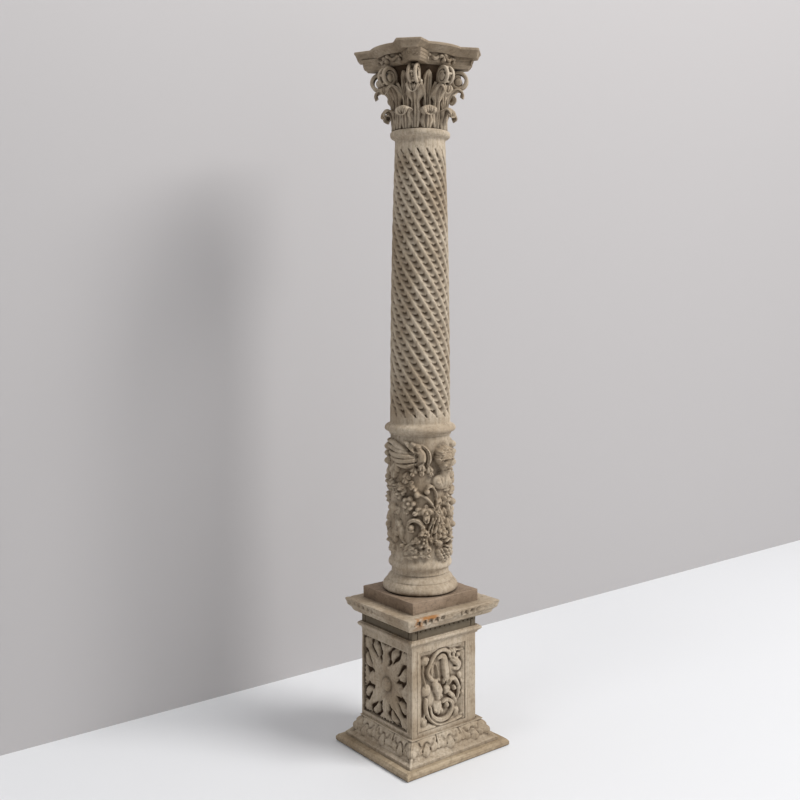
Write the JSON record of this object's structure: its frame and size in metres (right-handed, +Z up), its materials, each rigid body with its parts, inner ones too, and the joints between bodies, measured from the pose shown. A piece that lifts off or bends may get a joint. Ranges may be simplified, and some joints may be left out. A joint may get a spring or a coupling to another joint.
{
  "type": "wooden column",
  "caption": "Free-standing carved wooden column with spiral fluted shaft, leaf capital and panelled square pedestal.",
  "frame": {"origin": "middle of the foot board's underside, where it rests on the floor", "axes": "+Z up along the column, the scroll panel of the pedestal faces -Y and the rosette panel faces -X"},
  "size_m": [0.41, 0.369, 2.191],
  "materials": {
    "limed_wood": "matt, pale limed and rubbed back, darker in the recesses",
    "foot_wood": "matt, worn brownish beige with open grain",
    "plinth_wood": "matt, darker greyish brown"
  },
  "bodies": {
    "root": {"foot_board": "foot_wood", "leaf_moulding": "limed_wood", "pedestal_box": "limed_wood", "scroll_panel": "limed_wood", "back_panel_x": "limed_wood", "back_panel_y": "limed_wood", "rosette_panel": "limed_wood", "bead_moulding": "limed_wood", "cornice_board": "limed_wood", "plinth_block": "plinth_wood", "turned_base": "limed_wood", "carved_drum": "limed_wood", "spiral_shaft": "limed_wood", "capital": "limed_wood", "abacus": "limed_wood"}
  },
  "joints": []
}
